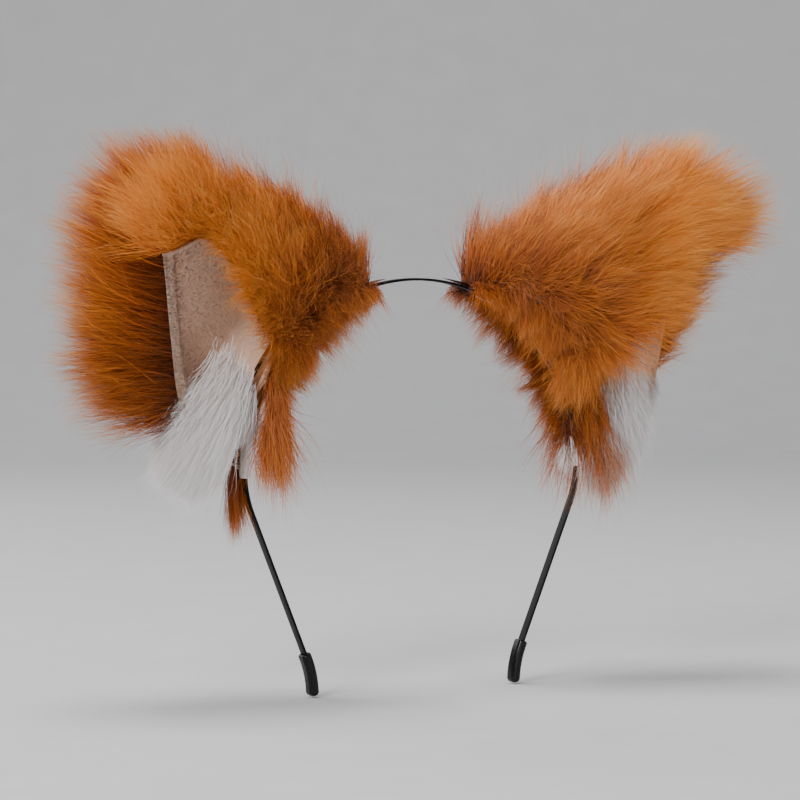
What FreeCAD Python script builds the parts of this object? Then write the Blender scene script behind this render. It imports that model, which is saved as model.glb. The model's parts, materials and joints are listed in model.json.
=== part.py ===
import FreeCAD, Part
import math
import os

import Sketcher

# Animal ears headband, in millimetres.
# The origin is the centre of the hoop's round top. +Z is up, the wearer faces -Y, and +X is the
# wearer's left. The left side is built, and the right side is its mirror image.

doc = FreeCAD.newDocument("animal_ears_headband")
Vector = FreeCAD.Vector

# ---------------------------------------------------------------- driving dimensions

SIZES = {
    # hoop strip: a round top, a tighter bend below each ear and a straight leg
    "hoop_radius": 64.0,
    "top_half_angle": 87.0,
    "bend_radius": 34.0,
    "bend_angle": 25.5,
    "leg_length": 50.9,
    "strip_width": 3.5,
    "strip_half": 0.4,
    "flex_angle": 7.5,
    "flex_gap": 0.2,
    # moulded end cap: straight at its mouth, then turning upright
    "cap_straight": 1.5,
    "cap_bend_radius": 34.0,
    "cap_bend_angle": 22.0,
    "cap_half": 1.75,
    "cap_width": 5.0,
    "cap_round": 1.6,
    "cap_shoulder": 0.7,
    "cap_socket": 9.5,
    "socket_half": 0.45,
    "socket_width": 3.6,
    # thread bindings round the strip
    "binding_half": 1.2,
    "binding_width": 4.2,
    "binding_round": 0.9,
    "upper_binding_start": 23.0,
    "upper_binding_angle": 4.5,
    "lower_binding_start": 80.2,
    "lower_binding_length": 11.0,
    # felt pad on the outer side of the strip
    "pad_inner": 0.4,
    "pad_outer": 2.5,
    "pad_width": 10.0,
    "pad_start": 27.9,
    "pad_stop": 79.8,
    # ear: cross sections at heights measured from the hoop's centre, along the ear's own axis
    "ear_angle": 51.0,
    "base_height": 52.0,
    "ear_height": 77.0,
    "ear_lean": 10.0,
    "base_clearance": 4.5,
    "lining_ratio": 0.45,
    "fur_ratio": 0.55,
    "stiffener_outer": 0.6,
    "stiffener_inner": 2.6,
    "lining_outer": 4.0,
    "lining_inner": 7.2,
    # leaf-shaped opening of the ear, seen straight on
    "opening_turn": 40.0,
    "opening_lean": 14.0,
    "opening_start": 17.0,
    "opening_depth": 70.0,
    # shaping wire
    "wire_radius": 0.5,
    "wire_inset": 2.0,
    "wire_lateral_foot": 60.0,
    "wire_flap_foot": 70.0,
    "wire_top": 120.0,
    "wire_lateral_angle": -14.0,
    "wire_flap_low_angle": 74.0,
    "wire_flap_high_angle": 128.0,
    # white tuft
    "tuft_length": 24.0,
    "tuft_breadth": 12.0,
    "tuft_thickness": 8.0,
    "tuft_tilt": 28.0,
    "tuft_start": 8.0,
}

# Each row: height, medial edge and lateral edge of one section across the ear's axis.
CLOTH_SECTIONS = [
    (44.0, -38.5, 37.5),
    (52.0, -37.6, 37.6),
    (67.0, -34.2, 40.0),
    (85.0, -29.3, 36.5),
    (102.0, -22.0, 22.5),
    (116.0, -15.0, 9.0),
    (122.0, -12.3, 2.5),
    (126.0, -10.5, -2.0),
]
FUR_SECTIONS = [
    (44.0, -42.0, 49.0),
    (52.0, -41.5, 52.0),
    (67.0, -40.0, 59.0),
    (85.0, -36.5, 58.0),
    (102.0, -31.0, 47.0),
    (116.0, -25.0, 34.0),
    (130.0, -19.5, 21.0),
    (143.0, -14.0, 10.0),
    (154.0, -8.5, 2.5),
]

sheet = doc.addObject("Spreadsheet::Sheet", "Sizes")


def write_sizes():
    """Put every driving dimension in a cell of its own, with its name as the cell's alias."""
    names = dict(SIZES)
    for prefix, sections in (("cloth", CLOTH_SECTIONS), ("fur", FUR_SECTIONS)):
        for number, (height, medial, lateral) in enumerate(sections, start=1):
            names[f"{prefix}_height_{number}"] = height
            names[f"{prefix}_medial_{number}"] = medial
            names[f"{prefix}_lateral_{number}"] = lateral
    for row, (name, value) in enumerate(names.items(), start=1):
        sheet.set(f"A{row}", name)
        sheet.set(f"B{row}", str(value))
        sheet.setAlias(f"B{row}", name)
    doc.recompute()


write_sizes()


def size(name):
    """Value of one named cell."""
    return float(sheet.get(name))


def bind(item, **expressions):
    """Bind properties of an object to formulas on the sheet; a dot is written as two underscores."""
    for name, expression in expressions.items():
        item.setExpression(name.replace("__", "."), expression)


# ---------------------------------------------------------------- the line of the hoop

def direction(angle):
    """Outward direction in the XZ plane, at an angle in degrees from +Z towards +X."""
    turn = math.radians(angle)
    return Vector(math.sin(turn), 0, math.cos(turn))


def hoop_stretches():
    """The left half of the strip's middle line, from the crown to the tip, as arcs and a run.

    Each stretch is a tuple: kind, centre or start point, radius, first angle, length.
    An angle is that of the outward normal.
    """
    top_angle = size("top_half_angle")
    low_angle = top_angle + size("bend_angle")
    centre = Vector(0, 0, 0)
    bend_centre = direction(top_angle) * (size("hoop_radius") - size("bend_radius"))
    leg_start = bend_centre + direction(low_angle) * size("bend_radius")
    leg_length = size("leg_length") + size("cap_straight")
    leg_end = leg_start + direction(low_angle + 90) * leg_length
    cap_centre = leg_end + direction(low_angle) * size("cap_bend_radius")
    return [
        ("arc", centre, size("hoop_radius"), 0.0, arc_length("hoop_radius", "top_half_angle")),
        ("arc", bend_centre, size("bend_radius"), top_angle, arc_length("bend_radius", "bend_angle")),
        ("run", leg_start, 0.0, low_angle, leg_length),
        ("back", cap_centre, size("cap_bend_radius"), low_angle,
         arc_length("cap_bend_radius", "cap_bend_angle")),
    ]


def arc_length(radius_name, angle_name):
    """Length of an arc whose radius and angle are on the sheet."""
    return size(radius_name) * math.radians(size(angle_name))


STRETCHES = hoop_stretches()
RADIUS_NAMES = ("hoop_radius", "bend_radius", None, "cap_bend_radius")
LEG_START = STRETCHES[0][4] + STRETCHES[1][4]
MOUTH = LEG_START + size("leg_length")
TIP = sum(stretch[4] for stretch in STRETCHES)


def at_angle(angle):
    """Distance along the line from the crown to an angle on the round top."""
    return size("hoop_radius") * math.radians(angle)


def stretch_point(stretch, along, offset):
    """Point of one stretch at a distance along it, moved outward by an offset."""
    kind, centre, radius, first, _ = stretch
    if kind == "run":
        return centre + direction(first + 90) * along + direction(first) * offset
    if kind == "arc":
        return centre + direction(first + math.degrees(along / radius)) * (radius + offset)
    return centre - direction(first - math.degrees(along / radius)) * (radius - offset)


def band_outline(sketch, first, last, inner, outer):
    """Draw the closed outline of a band between two distances along the line.

    inner and outer are a sign and the name of a size: how far each side stands off the line.
    """
    corners = []
    before = 0.0
    for stretch, radius_name in zip(STRETCHES, RADIUS_NAMES):
        start = max(first, before) - before
        stop = min(last, before + stretch[4]) - before
        before += stretch[4]
        if stop - start < 0.01:
            continue
        for sign, name in (inner, outer):
            stations = (start, (start + stop) / 2, stop)
            points = [stretch_point(stretch, along, sign * size(name)) for along in stations]
            flat = [Vector(point.x, point.z, 0) for point in points]
            corners.append((flat[0], flat[2]))
            if radius_name is None:
                sketch.addGeometry(Part.LineSegment(flat[0], flat[2]))
                continue
            standing = sign if stretch[0] == "arc" else -sign
            add_arc(sketch, flat, stretch[1], f"Sizes.{radius_name} + {standing} * Sizes.{name}")
    sketch.addGeometry(Part.LineSegment(corners[0][0], corners[1][0]))
    sketch.addGeometry(Part.LineSegment(corners[-2][1], corners[-1][1]))
    join_ends(sketch)


def add_arc(sketch, points, centre, radius_expression):
    """Add an arc through three points, anticlockwise, with its radius bound to the sheet."""
    turn = (points[1] - points[0]).cross(points[2] - points[1]).z
    arc = sketch.addGeometry(Part.Arc(*(points if turn > 0 else points[::-1])))
    if centre.Length < 1e-6:
        sketch.addConstraint(Sketcher.Constraint("Coincident", arc, 3, -1, 1))
    radius = sketch.Geometry[arc].Radius
    constraint = sketch.addConstraint(Sketcher.Constraint("Radius", arc, radius))
    sketch.setExpression(f"Constraints[{constraint}]", radius_expression)


def edge_ends(sketch):
    """Every edge's two ends: edge number, which end, point and direction of the edge there."""
    ends = []
    for number, edge in enumerate(sketch.Geometry):
        places = ((1, edge.StartPoint, edge.FirstParameter), (2, edge.EndPoint, edge.LastParameter))
        for which, point, place in places:
            ends.append((number, which, point, edge.tangent(place)[0]))
    return ends


def join_ends(sketch):
    """Join every two ends that meet: tangent where the line runs on, or else only coincident."""
    ends = edge_ends(sketch)
    for first in range(len(ends)):
        for second in range(first + 1, len(ends)):
            one, other = ends[first], ends[second]
            if (one[2] - other[2]).Length > 1e-5:
                continue
            runs_on = one[3].cross(other[3]).Length < 1e-4
            kind = "Tangent" if runs_on else "Coincident"
            sketch.addConstraint(Sketcher.Constraint(kind, one[0], one[1], other[0], other[1]))


def body_sketch(body, name, role="XZ_Plane"):
    """An empty sketch on one of the body's own origin planes."""
    sketch = body.newObject("Sketcher::SketchObject", name)
    plane = next(feature for feature in body.Origin.OriginFeatures if feature.Role == role)
    sketch.AttachmentSupport = [(plane, "")]
    sketch.MapMode = "FlatFace"
    return sketch


def add_band(body, name, first, last, inner, outer, width_name, kind="PartDesign::Pad"):
    """A band along the hoop's line, padded (or pocketed) the same distance to front and back."""
    sketch = body_sketch(body, name + "_outline")
    band_outline(sketch, first, last, inner, outer)
    feature = body.newObject(kind, name)
    feature.Profile = sketch
    feature.SideType = "Symmetric"
    feature.setExpression("Length", f"Sizes.{width_name}")
    doc.recompute()
    return feature


def round_edges(body, feature, radius_name, sharp_ends, round_end=None):
    """Fillet the long edges of a band, and all the edges of its round end where it has one."""
    names = []
    reach = max(feature.Shape.BoundBox.YLength, 1) / 2
    for number, edge in enumerate(feature.Shape.Edges, start=1):
        across = edge.BoundBox.YLength > 1
        at_round_end = round_end is not None and near(edge, round_end, reach)
        at_sharp_end = any(near(edge, end, reach) for end in sharp_ends)
        if at_round_end or not (across or at_sharp_end):
            names.append(f"Edge{number}")
    fillet = body.newObject("PartDesign::Fillet", body.Name + "_rounding")
    fillet.Base = (feature, names)
    fillet.setExpression("Radius", f"Sizes.{radius_name}")
    doc.recompute()
    return fillet


def near(edge, point, reach):
    """Whether the whole edge lies within reach of a point, seen in the XZ plane."""
    for vertex in edge.Vertexes:
        if math.hypot(vertex.X - point.x, vertex.Z - point.z) > reach:
            return False
    return True


def line_point(along):
    """Point of the hoop's line at a distance from the crown."""
    for stretch in STRETCHES:
        if along <= stretch[4] + 1e-6:
            return stretch_point(stretch, along, 0)
        along -= stretch[4]
    raise ValueError("beyond the tip")


STRIP = ((-1, "strip_half"), (1, "strip_half"))
SOCKET = ((-1, "socket_half"), (1, "socket_half"))

# ---------------------------------------------------------------- hoop


def make_crown():
    """The middle of the strip, between the two places where the hoop flexes."""
    body = doc.addObject("PartDesign::Body", "hoop_crown")
    sketch = body_sketch(body, "crown_outline")
    reach = size("flex_angle") - math.degrees(size("flex_gap") / 2 / size("hoop_radius"))
    ends = []
    for sign in (-1, 1):
        radius = size("hoop_radius") + sign * size("strip_half")
        points = [direction(angle) * radius for angle in (-reach, 0, reach)]
        flat = [Vector(point.x, point.z, 0) for point in points]
        ends.append(flat)
        add_arc(sketch, flat, Vector(0, 0, 0), f"Sizes.hoop_radius + {sign} * Sizes.strip_half")
    for place in (0, 2):
        sketch.addGeometry(Part.LineSegment(ends[0][place], ends[1][place]))
    join_ends(sketch)
    pad = body.newObject("PartDesign::Pad", "crown_strip")
    pad.Profile = sketch
    pad.SideType = "Symmetric"
    pad.setExpression("Length", "Sizes.strip_width")
    doc.recompute()
    return body


def make_arm():
    """One side of the strip: round top, bend and straight leg, and its end inside the cap."""
    body = doc.addObject("PartDesign::Body", "left_hoop_arm")
    first = at_angle(size("flex_angle")) + size("flex_gap") / 2
    last = MOUTH + size("cap_socket") - size("flex_gap")
    add_band(body, "arm_strip", first, last, *STRIP, "strip_width")
    return body


def make_end_cap():
    """Moulded cap on the strip's tip: bar with a round tip, soft shoulders and a socket."""
    body = doc.addObject("PartDesign::Body", "left_end_cap")
    bar = add_band(body, "cap_bar", MOUTH, TIP, (-1, "cap_half"), (1, "cap_half"), "cap_width")
    rounded = round_edges(body, bar, "cap_round", [line_point(MOUTH)], line_point(TIP))
    shoulder = body.newObject("PartDesign::Fillet", "cap_shoulders")
    shoulder.Base = (rounded, [f"Edge{number}" for number, edge in enumerate(rounded.Shape.Edges, start=1)
                               if near(edge, line_point(MOUTH), size("cap_width") / 2)])
    shoulder.setExpression("Radius", "Sizes.cap_shoulder")
    doc.recompute()
    socket_end = MOUTH + size("cap_socket")
    before = body.Shape.Volume
    add_band(body, "cap_socket", MOUTH, socket_end, *SOCKET, "socket_width", "PartDesign::Pocket")
    assert body.Shape.Volume < before, "the socket cuts nothing"
    return body


def make_binding(name, first, last):
    """Thread wound round the strip, as a rounded sleeve."""
    body = doc.addObject("PartDesign::Body", name)
    sleeve = add_band(body, name + "_sleeve", first, last,
                      (-1, "binding_half"), (1, "binding_half"), "binding_width")
    round_edges(body, sleeve, "binding_round", [line_point(first), line_point(last)])
    before = body.Shape.Volume
    add_band(body, name + "_core", first, last, *SOCKET, "socket_width", "PartDesign::Pocket")
    assert body.Shape.Volume < before, "the strip's way through cuts nothing"
    return body


def make_base_pad():
    """Felt pad along the outer side of the strip, between the two bindings."""
    body = doc.addObject("PartDesign::Body", "left_base_pad")
    first = at_angle(size("pad_start"))
    last = at_angle(size("pad_stop"))
    add_band(body, "pad_band", first, last, (1, "pad_inner"), (1, "pad_outer"), "pad_width")
    return body


# ---------------------------------------------------------------- ear shells, in the ear's own axes
# Z runs from the hoop's centre through the ear, X towards the lateral rim, -Y is the front.

EAR_PLACE = FreeCAD.Placement(Vector(0, 0, 0), FreeCAD.Rotation(Vector(0, 1, 0), size("ear_angle")))
LEAN = "(-Sizes.ear_lean) * ({height} - Sizes.base_height) / Sizes.ear_height"


def make_loft(name, prefix, count, inset, ratio):
    """Closed shell through elliptical sections that are inset from the ones on the sheet."""
    rings = []
    for number in range(1, count + 1):
        height = f"Sizes.{prefix}_height_{number}"
        medial = f"Sizes.{prefix}_medial_{number}"
        lateral = f"Sizes.{prefix}_lateral_{number}"
        ring = doc.addObject("Part::Ellipse", f"{name}_ring_{number}")
        half = f"({lateral} - {medial}) / 2 - {inset}"
        bind(ring, MajorRadius=half, MinorRadius=f"({half}) * Sizes.{ratio}",
             Placement__Base__x=f"({lateral} + {medial}) / 2", Placement__Base__z=height,
             Placement__Base__y=LEAN.format(height=height))
        rings.append(ring)
    loft = doc.addObject("Part::Loft", name)
    loft.Sections = rings
    loft.Solid = True
    doc.recompute()
    return loft


def make_opening(name, spread, depth):
    """Leaf-shaped prism that opens the front and lateral side of the ear.

    spread moves both sides of the leaf outward. depth is how far in front of the ear's axis the
    prism begins at the base; its back face leans back, to meet the axis near the apex.
    """
    body = doc.addObject("PartDesign::Body", name)
    sketch = body_sketch(body, name + "_leaf")
    low_lateral = Vector(27.5 + spread, -4, 0)
    mid_lateral = Vector(23.0 + spread, 36, 0)
    low_flap = Vector(17.0 - spread, -4, 0)
    mid_flap = Vector(-8.5 - spread, 42, 0)
    apex = Vector(-13.0, 75 + spread, 0)
    sketch.addGeometry(Part.Arc(low_lateral, mid_lateral, apex))
    sketch.addGeometry(Part.Arc(apex, mid_flap, low_flap))
    sketch.addGeometry(Part.LineSegment(low_flap, low_lateral))
    join_ends(sketch)
    pad = body.newObject("PartDesign::Pad", name + "_prism")
    pad.Profile = sketch
    pad.setExpression("Length", "Sizes.opening_depth")
    turn = FreeCAD.Rotation(Vector(0, 0, 1), size("opening_turn"))
    lean = FreeCAD.Rotation(Vector(1, 0, 0), -size("opening_lean"))
    front = turn.multVec(Vector(0, -depth, 0))
    body.Placement = FreeCAD.Placement(front + Vector(0, 0, size("base_height")), turn * lean)
    doc.recompute()
    return body


def make_base_cutter():
    """Cylinder that keeps the ear clear of the hoop, the pad and the bindings as it tilts."""
    cylinder = doc.addObject("Part::Cylinder", "base_cutter")
    bind(cylinder, Radius="Sizes.hoop_radius + Sizes.base_clearance", Height="Sizes.opening_depth * 2",
         Placement__Base__y="Sizes.opening_depth")
    cylinder.Placement.Rotation = FreeCAD.Rotation(Vector(1, 0, 0), 90)
    doc.recompute()
    return cylinder


def cut(name, base, tool):
    """Boolean cut as an object of the document."""
    item = doc.addObject("Part::Cut", name)
    item.Base = base
    item.Tool = tool
    doc.recompute()
    return item


def make_shell(name, outer, inner, opening, base_cutter):
    """Layer of the ear between two lofts, with its opening and its base cut out."""
    walls = cut(name + "_walls", outer, inner)
    opened = cut(name + "_opened", walls, opening)
    shell = cut(name, opened, base_cutter)
    shell.Placement = EAR_PLACE
    doc.recompute()
    return shell


def make_tuft(opening, base_cutter):
    """Dense heart of the white tuft, in the lower part of the opening."""
    core = doc.addObject("Part::Ellipsoid", "tuft_core")
    bind(core, Radius1="Sizes.tuft_length", Radius2="Sizes.tuft_breadth", Radius3="Sizes.tuft_thickness")
    core.Placement = FreeCAD.Placement(
        Vector(25, -13, size("base_height") + 14), FreeCAD.Rotation(Vector(0, 1, 0), -size("tuft_tilt")))
    inside = doc.addObject("Part::Common", "tuft_inside")
    inside.Base = core
    inside.Tool = opening
    doc.recompute()
    tuft = cut("left_white_tuft", inside, base_cutter)
    tuft.Placement = EAR_PLACE
    doc.recompute()
    return tuft


def cloth_at(height):
    """Medial and lateral edge of the cloth at a height, between the sections on the sheet."""
    for below, above in zip(CLOTH_SECTIONS, CLOTH_SECTIONS[1:]):
        if height <= above[0]:
            part = (height - below[0]) / (above[0] - below[0])
            return [low + part * (high - low) for low, high in zip(below[1:], above[1:])]
    return CLOTH_SECTIONS[-1][1:]


def wire_point(height, angle):
    """Point between the fur's cloth and the lining; the angle turns from lateral to front."""
    medial, lateral = cloth_at(height)
    half = (lateral - medial) / 2 - size("wire_inset")
    turn = math.radians(angle)
    lean = -size("ear_lean") * (height - size("base_height")) / size("ear_height")
    return Vector((lateral + medial) / 2 + half * math.cos(turn),
                  lean - half * size("lining_ratio") * math.sin(turn), height)


def wire_points():
    """Corners of the shaping wire: up the lateral rim, over the apex and down the flap's edge."""
    steps = 7
    top = size("wire_top")
    lateral_angle = size("wire_lateral_angle")
    low_angle = size("wire_flap_low_angle")
    high_angle = size("wire_flap_high_angle")
    points = []
    for step in range(steps):
        height = size("wire_lateral_foot") + (top - size("wire_lateral_foot")) * step / steps
        points.append(wire_point(height, lateral_angle))
    points.append(wire_point(top, (lateral_angle + high_angle) / 2))
    for step in range(steps):
        part = 1 - (step + 1) / steps
        height = size("wire_flap_foot") + (top - size("wire_flap_foot")) * part
        points.append(wire_point(height, low_angle + (high_angle - low_angle) * part))
    return points


def rounded_path(points):
    """Straight runs between the points, joined by tangent arcs."""
    edges = []
    last = points[0]
    for before, corner, after in zip(points, points[1:], points[2:]):
        reach = 0.45 * min((corner - before).Length, (after - corner).Length)
        into = (corner - before).normalize()
        out = (after - corner).normalize()
        arc_start = corner - into * reach
        arc_end = corner + out * reach
        half_turn = into.getAngle(out) / 2
        middle = (out - into).normalize()
        radius = reach / math.tan(half_turn)
        arc_middle = corner + middle * (radius / math.cos(half_turn) - radius)
        edges.append(Part.LineSegment(last, arc_start).toShape())
        edges.append(Part.Arc(arc_start, arc_middle, arc_end).toShape())
        last = arc_end
    edges.append(Part.LineSegment(last, points[-1]).toShape())
    return Part.Wire(edges)


def make_wire():
    """Shaping wire, a round wire swept along its path."""
    path = rounded_path(wire_points())
    start = path.Edges[0]
    ring = Part.Wire(Part.makeCircle(size("wire_radius"), start.valueAt(0), start.tangentAt(0)))
    wire = doc.addObject("Part::Feature", "left_ear_wire")
    wire.Shape = path.makePipeShell([ring], True, True)
    wire.Placement = EAR_PLACE
    return wire


# ---------------------------------------------------------------- the whole left side, and its mirror


def mirror(item, label):
    """Mirror image of a left piece, for the wearer's right side."""
    image = doc.addObject("Part::Mirroring", label)
    image.Source = item
    image.Normal = Vector(1, 0, 0)
    return image


crown = make_crown()
base_cutter = make_base_cutter()
opening = make_opening("opening", 0.0, size("opening_start"))
lining_opening = make_opening("lining_opening", -2.0, size("opening_start"))
tuft_opening = make_opening("tuft_opening", -2.8, size("tuft_start"))
stiffener_opening = make_opening("stiffener_opening", 8.0, size("opening_start"))
cloth = make_loft("cloth_outside", "cloth", 8, "0", "lining_ratio")
fur = make_loft("fur_outside", "fur", 9, "0", "fur_ratio")
stiffener_outside = make_loft("stiffener_outside", "cloth", 7, "Sizes.stiffener_outer", "lining_ratio")
stiffener_inside = make_loft("stiffener_inside", "cloth", 7, "Sizes.stiffener_inner", "lining_ratio")
lining_outside = make_loft("lining_outside", "cloth", 6, "Sizes.lining_outer", "lining_ratio")
lining_inside = make_loft("lining_inside", "cloth", 6, "Sizes.lining_inner", "lining_ratio")
left_pieces = [
    make_arm(),
    make_end_cap(),
    make_binding("left_upper_binding", at_angle(size("upper_binding_start")),
                 at_angle(size("upper_binding_start") + size("upper_binding_angle"))),
    make_binding("left_lower_binding", at_angle(size("lower_binding_start")),
                 at_angle(size("lower_binding_start")) + size("lower_binding_length")),
    make_base_pad(),
    make_shell("left_ear_fur", fur, cloth, opening, base_cutter),
    make_shell("left_ear_stiffener", stiffener_outside, stiffener_inside, stiffener_opening, base_cutter),
    make_shell("left_ear_lining", lining_outside, lining_inside, lining_opening, base_cutter),
    make_wire(),
    make_tuft(tuft_opening, base_cutter),
]
sub_parts = [crown] + left_pieces
for item in left_pieces:
    sub_parts.append(mirror(item, item.Name.replace("left_", "right_")))
doc.recompute()

for item in doc.Objects:
    assert not {"Invalid", "Error"} & set(item.State), f"{item.Name} failed"
os.makedirs("parts", exist_ok=True)
for item in sub_parts:
    shape = item.Shape
    assert not shape.isNull() and shape.isValid(), f"{item.Name} has a bad shape"
    item.Label = item.Name
    shape.exportStep(f"parts/{item.Name}.step")
    print(item.Name, len(shape.Solids), round(shape.Volume, 1), shape.BoundBox)
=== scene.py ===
import math

import bpy
import numpy as np
from mathutils import Euler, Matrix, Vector, kdtree
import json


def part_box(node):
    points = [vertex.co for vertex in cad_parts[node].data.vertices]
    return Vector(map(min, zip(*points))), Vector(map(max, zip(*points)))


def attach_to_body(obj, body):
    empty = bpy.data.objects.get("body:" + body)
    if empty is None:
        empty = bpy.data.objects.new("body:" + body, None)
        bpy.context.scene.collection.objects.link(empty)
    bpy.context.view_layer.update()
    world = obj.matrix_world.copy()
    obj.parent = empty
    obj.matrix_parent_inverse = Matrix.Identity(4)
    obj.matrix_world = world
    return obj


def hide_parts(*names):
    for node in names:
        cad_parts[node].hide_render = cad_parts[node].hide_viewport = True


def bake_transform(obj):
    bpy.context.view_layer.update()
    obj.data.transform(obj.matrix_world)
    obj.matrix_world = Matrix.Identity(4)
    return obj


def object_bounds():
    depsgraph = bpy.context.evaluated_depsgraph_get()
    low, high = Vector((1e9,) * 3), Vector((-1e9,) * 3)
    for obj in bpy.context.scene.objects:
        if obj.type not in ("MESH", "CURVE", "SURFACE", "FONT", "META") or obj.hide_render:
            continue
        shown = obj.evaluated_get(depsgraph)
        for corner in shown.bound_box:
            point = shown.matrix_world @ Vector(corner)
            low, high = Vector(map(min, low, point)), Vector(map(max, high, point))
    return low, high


# Animal ears headband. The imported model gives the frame; every shape below is in millimetres and
# is turned into metres when its mesh is made. Each ear is shaped in its own axes: w runs along the
# ear's base to the lateral side, y to the back and h from the hoop's centre through the ear. A side
# is 1 for the wearer's left ear, on +X, and -1 for the right. The two ears have the same cloth but
# are combed differently.

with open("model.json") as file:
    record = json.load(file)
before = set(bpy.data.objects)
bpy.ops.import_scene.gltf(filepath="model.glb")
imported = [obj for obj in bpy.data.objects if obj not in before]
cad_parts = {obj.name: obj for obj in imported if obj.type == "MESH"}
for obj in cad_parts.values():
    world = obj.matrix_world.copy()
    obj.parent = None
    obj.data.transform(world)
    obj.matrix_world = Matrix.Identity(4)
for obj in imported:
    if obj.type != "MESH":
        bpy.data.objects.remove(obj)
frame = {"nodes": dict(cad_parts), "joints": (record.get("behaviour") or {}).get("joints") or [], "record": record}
cad_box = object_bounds()
record = frame["record"]
MM = 0.001

# ---------------------------------------------------------------- sizes taken from the frame

head_seat = next(mount for mount in record["mounts"] if mount["name"] == "head_seat")
crown_low, crown_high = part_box("hoop_crown")
STRIP_WIDTH = (crown_high.y - crown_low.y) / MM
SEAT_RADIUS = head_seat["dims"]["r_mm"]
STRIP_THICK = crown_high.z / MM - SEAT_RADIUS
HOOP_RADIUS = SEAT_RADIUS + STRIP_THICK / 2
JOINTS = {joint["name"]: joint for joint in frame["joints"]}
EAR_PIVOT = Vector(JOINTS["left_ear_tilt"]["pos_m"])
EAR_ANGLE = math.atan2(EAR_PIVOT.x, EAR_PIVOT.z)
SIDES = {"left": 1.0, "right": -1.0}
# Room that the fibres may take: the frame's box, grown by a share of each side and a little more.
ROOM_SHARE = 0.03
ROOM_MORE = 8.5
room_low, room_high = (np.array(corner) / MM for corner in cad_box)
room_grow = (room_high - room_low) * ROOM_SHARE + ROOM_MORE
ROOM = (room_low - room_grow, room_high + room_grow)

# ---------------------------------------------------------------- the ear's cloth surface

# Height from the hoop's centre, medial edge and lateral edge of the cloth across the ear's axis.
CLOTH = np.array([
    (44.0, -38.5, 37.5),
    (52.0, -37.6, 38.2),
    (67.0, -34.2, 40.0),
    (85.0, -29.3, 36.5),
    (102.0, -22.0, 22.5),
    (116.0, -15.0, 9.5),
    (122.0, -12.3, 4.0),
    (126.0, -10.6, -0.8),
    (128.4, -9.6, -4.6),
    (129.5, -8.1, -7.1),
])
# Height and angle of the front flap's edge; angles turn from the lateral side through the front.
FLAP = np.array([
    (44.0, 26.0),
    (50.0, 32.0),
    (57.0, 52.0),
    (63.5, 70.0),
    (70.5, 81.0),
    (79.0, 91.0),
    (89.0, 99.0),
    (98.0, 106.0),
    (106.5, 113.0),
    (113.0, 115.0),
    (117.0, 102.0),
    (120.0, 60.0),
    (122.0, 18.0),
    (123.5, 4.0),
    (130.0, 3.0),
])
# Where the back's cloth ends, as an angle past the lateral side, and the heights of the cloth's ends.
RIM_EDGE = 363.0
CLOTH_LOW = 44.0
BASE_HEIGHT = 52.0
APEX_HEIGHT = 129.4
# How far the tip leans forward, and how deep the ear is as a share of its breadth.
LEAN = 10.0
DEPTH_RATIO = 0.45
# The ear is flatter where it is sewn on: its depth there, and the height at which it is full.
SEWN_HALF_DEPTH = 0.3
FLARE_HEIGHT = 16.0
# Point that the orange pile fans out from, and the directions down and outward in the ear's axes.
FLOW_CENTRE = np.array([0.0, 2.0, 25.0])
DOWN = np.array([math.sin(EAR_ANGLE), 0.0, -math.cos(EAR_ANGLE)])
SIDEWAYS = np.array([math.cos(EAR_ANGLE), 0.0, math.sin(EAR_ANGLE)])


def smooth_curve(table, column, x):
    """Smooth curve through a table's points: cubic pieces with shared slopes."""
    xs = table[:, 0]
    ys = table[:, column]
    slopes = np.gradient(ys, xs)
    place = np.clip(np.searchsorted(xs, x) - 1, 0, len(xs) - 2)
    span = xs[place + 1] - xs[place]
    part = np.clip((x - xs[place]) / span, 0, 1)
    squared = part ** 2
    cubed = part ** 3
    return ((2 * cubed - 3 * squared + 1) * ys[place] + (cubed - 2 * squared + part) * span * slopes[place]
            + (3 * squared - 2 * cubed) * ys[place + 1] + (cubed - squared) * span * slopes[place + 1])


def smooth_step(x):
    """Eased step from 0 to 1."""
    x = np.clip(x, 0, 1)
    return x * x * (3 - 2 * x)


def cloth_point(angle, height, inset):
    """Points of the ear's cloth, at angles in degrees and heights, moved inward by an inset."""
    medial = smooth_curve(CLOTH, 1, height)
    lateral = smooth_curve(CLOTH, 2, height)
    half = np.maximum((lateral - medial) / 2 - inset, 0.05)
    turn = np.radians(angle)
    w = (lateral + medial) / 2 + half * np.cos(turn)
    above = np.hypot(w, height) - HOOP_RADIUS
    depth = SEWN_HALF_DEPTH + (1 - SEWN_HALF_DEPTH) * smooth_step(above / FLARE_HEIGHT)
    lean = -LEAN * np.maximum(height - BASE_HEIGHT, 0) / (APEX_HEIGHT - BASE_HEIGHT)
    y = lean - DEPTH_RATIO * half * depth * np.sin(turn)
    return np.stack([w, y, height + 0 * w], axis=-1)


def cloth_normal(angle, height, inset):
    """Outward unit normals of the ear's cloth."""
    around = cloth_point(angle + 0.5, height, inset) - cloth_point(angle - 0.5, height, inset)
    up = cloth_point(angle, height + 0.2, inset) - cloth_point(angle, height - 0.2, inset)
    return unit(np.cross(up, around))


def unit(vectors):
    """The same vectors at length one."""
    return vectors / np.maximum(np.linalg.norm(vectors, axis=-1, keepdims=True), 1e-9)


def place_ear(points, side):
    """Points or directions of an ear's own axes, in the object's axes."""
    w, y, height = points[..., 0], points[..., 1], points[..., 2]
    x = math.cos(EAR_ANGLE) * w + math.sin(EAR_ANGLE) * height
    z = -math.sin(EAR_ANGLE) * w + math.cos(EAR_ANGLE) * height
    return np.stack([side * x, y, z], axis=-1)


# ---------------------------------------------------------------- meshes

def link(name, mesh):
    """A new object for a mesh, in the scene."""
    obj = bpy.data.objects.new(name, mesh)
    bpy.context.scene.collection.objects.link(obj)
    return obj


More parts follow.
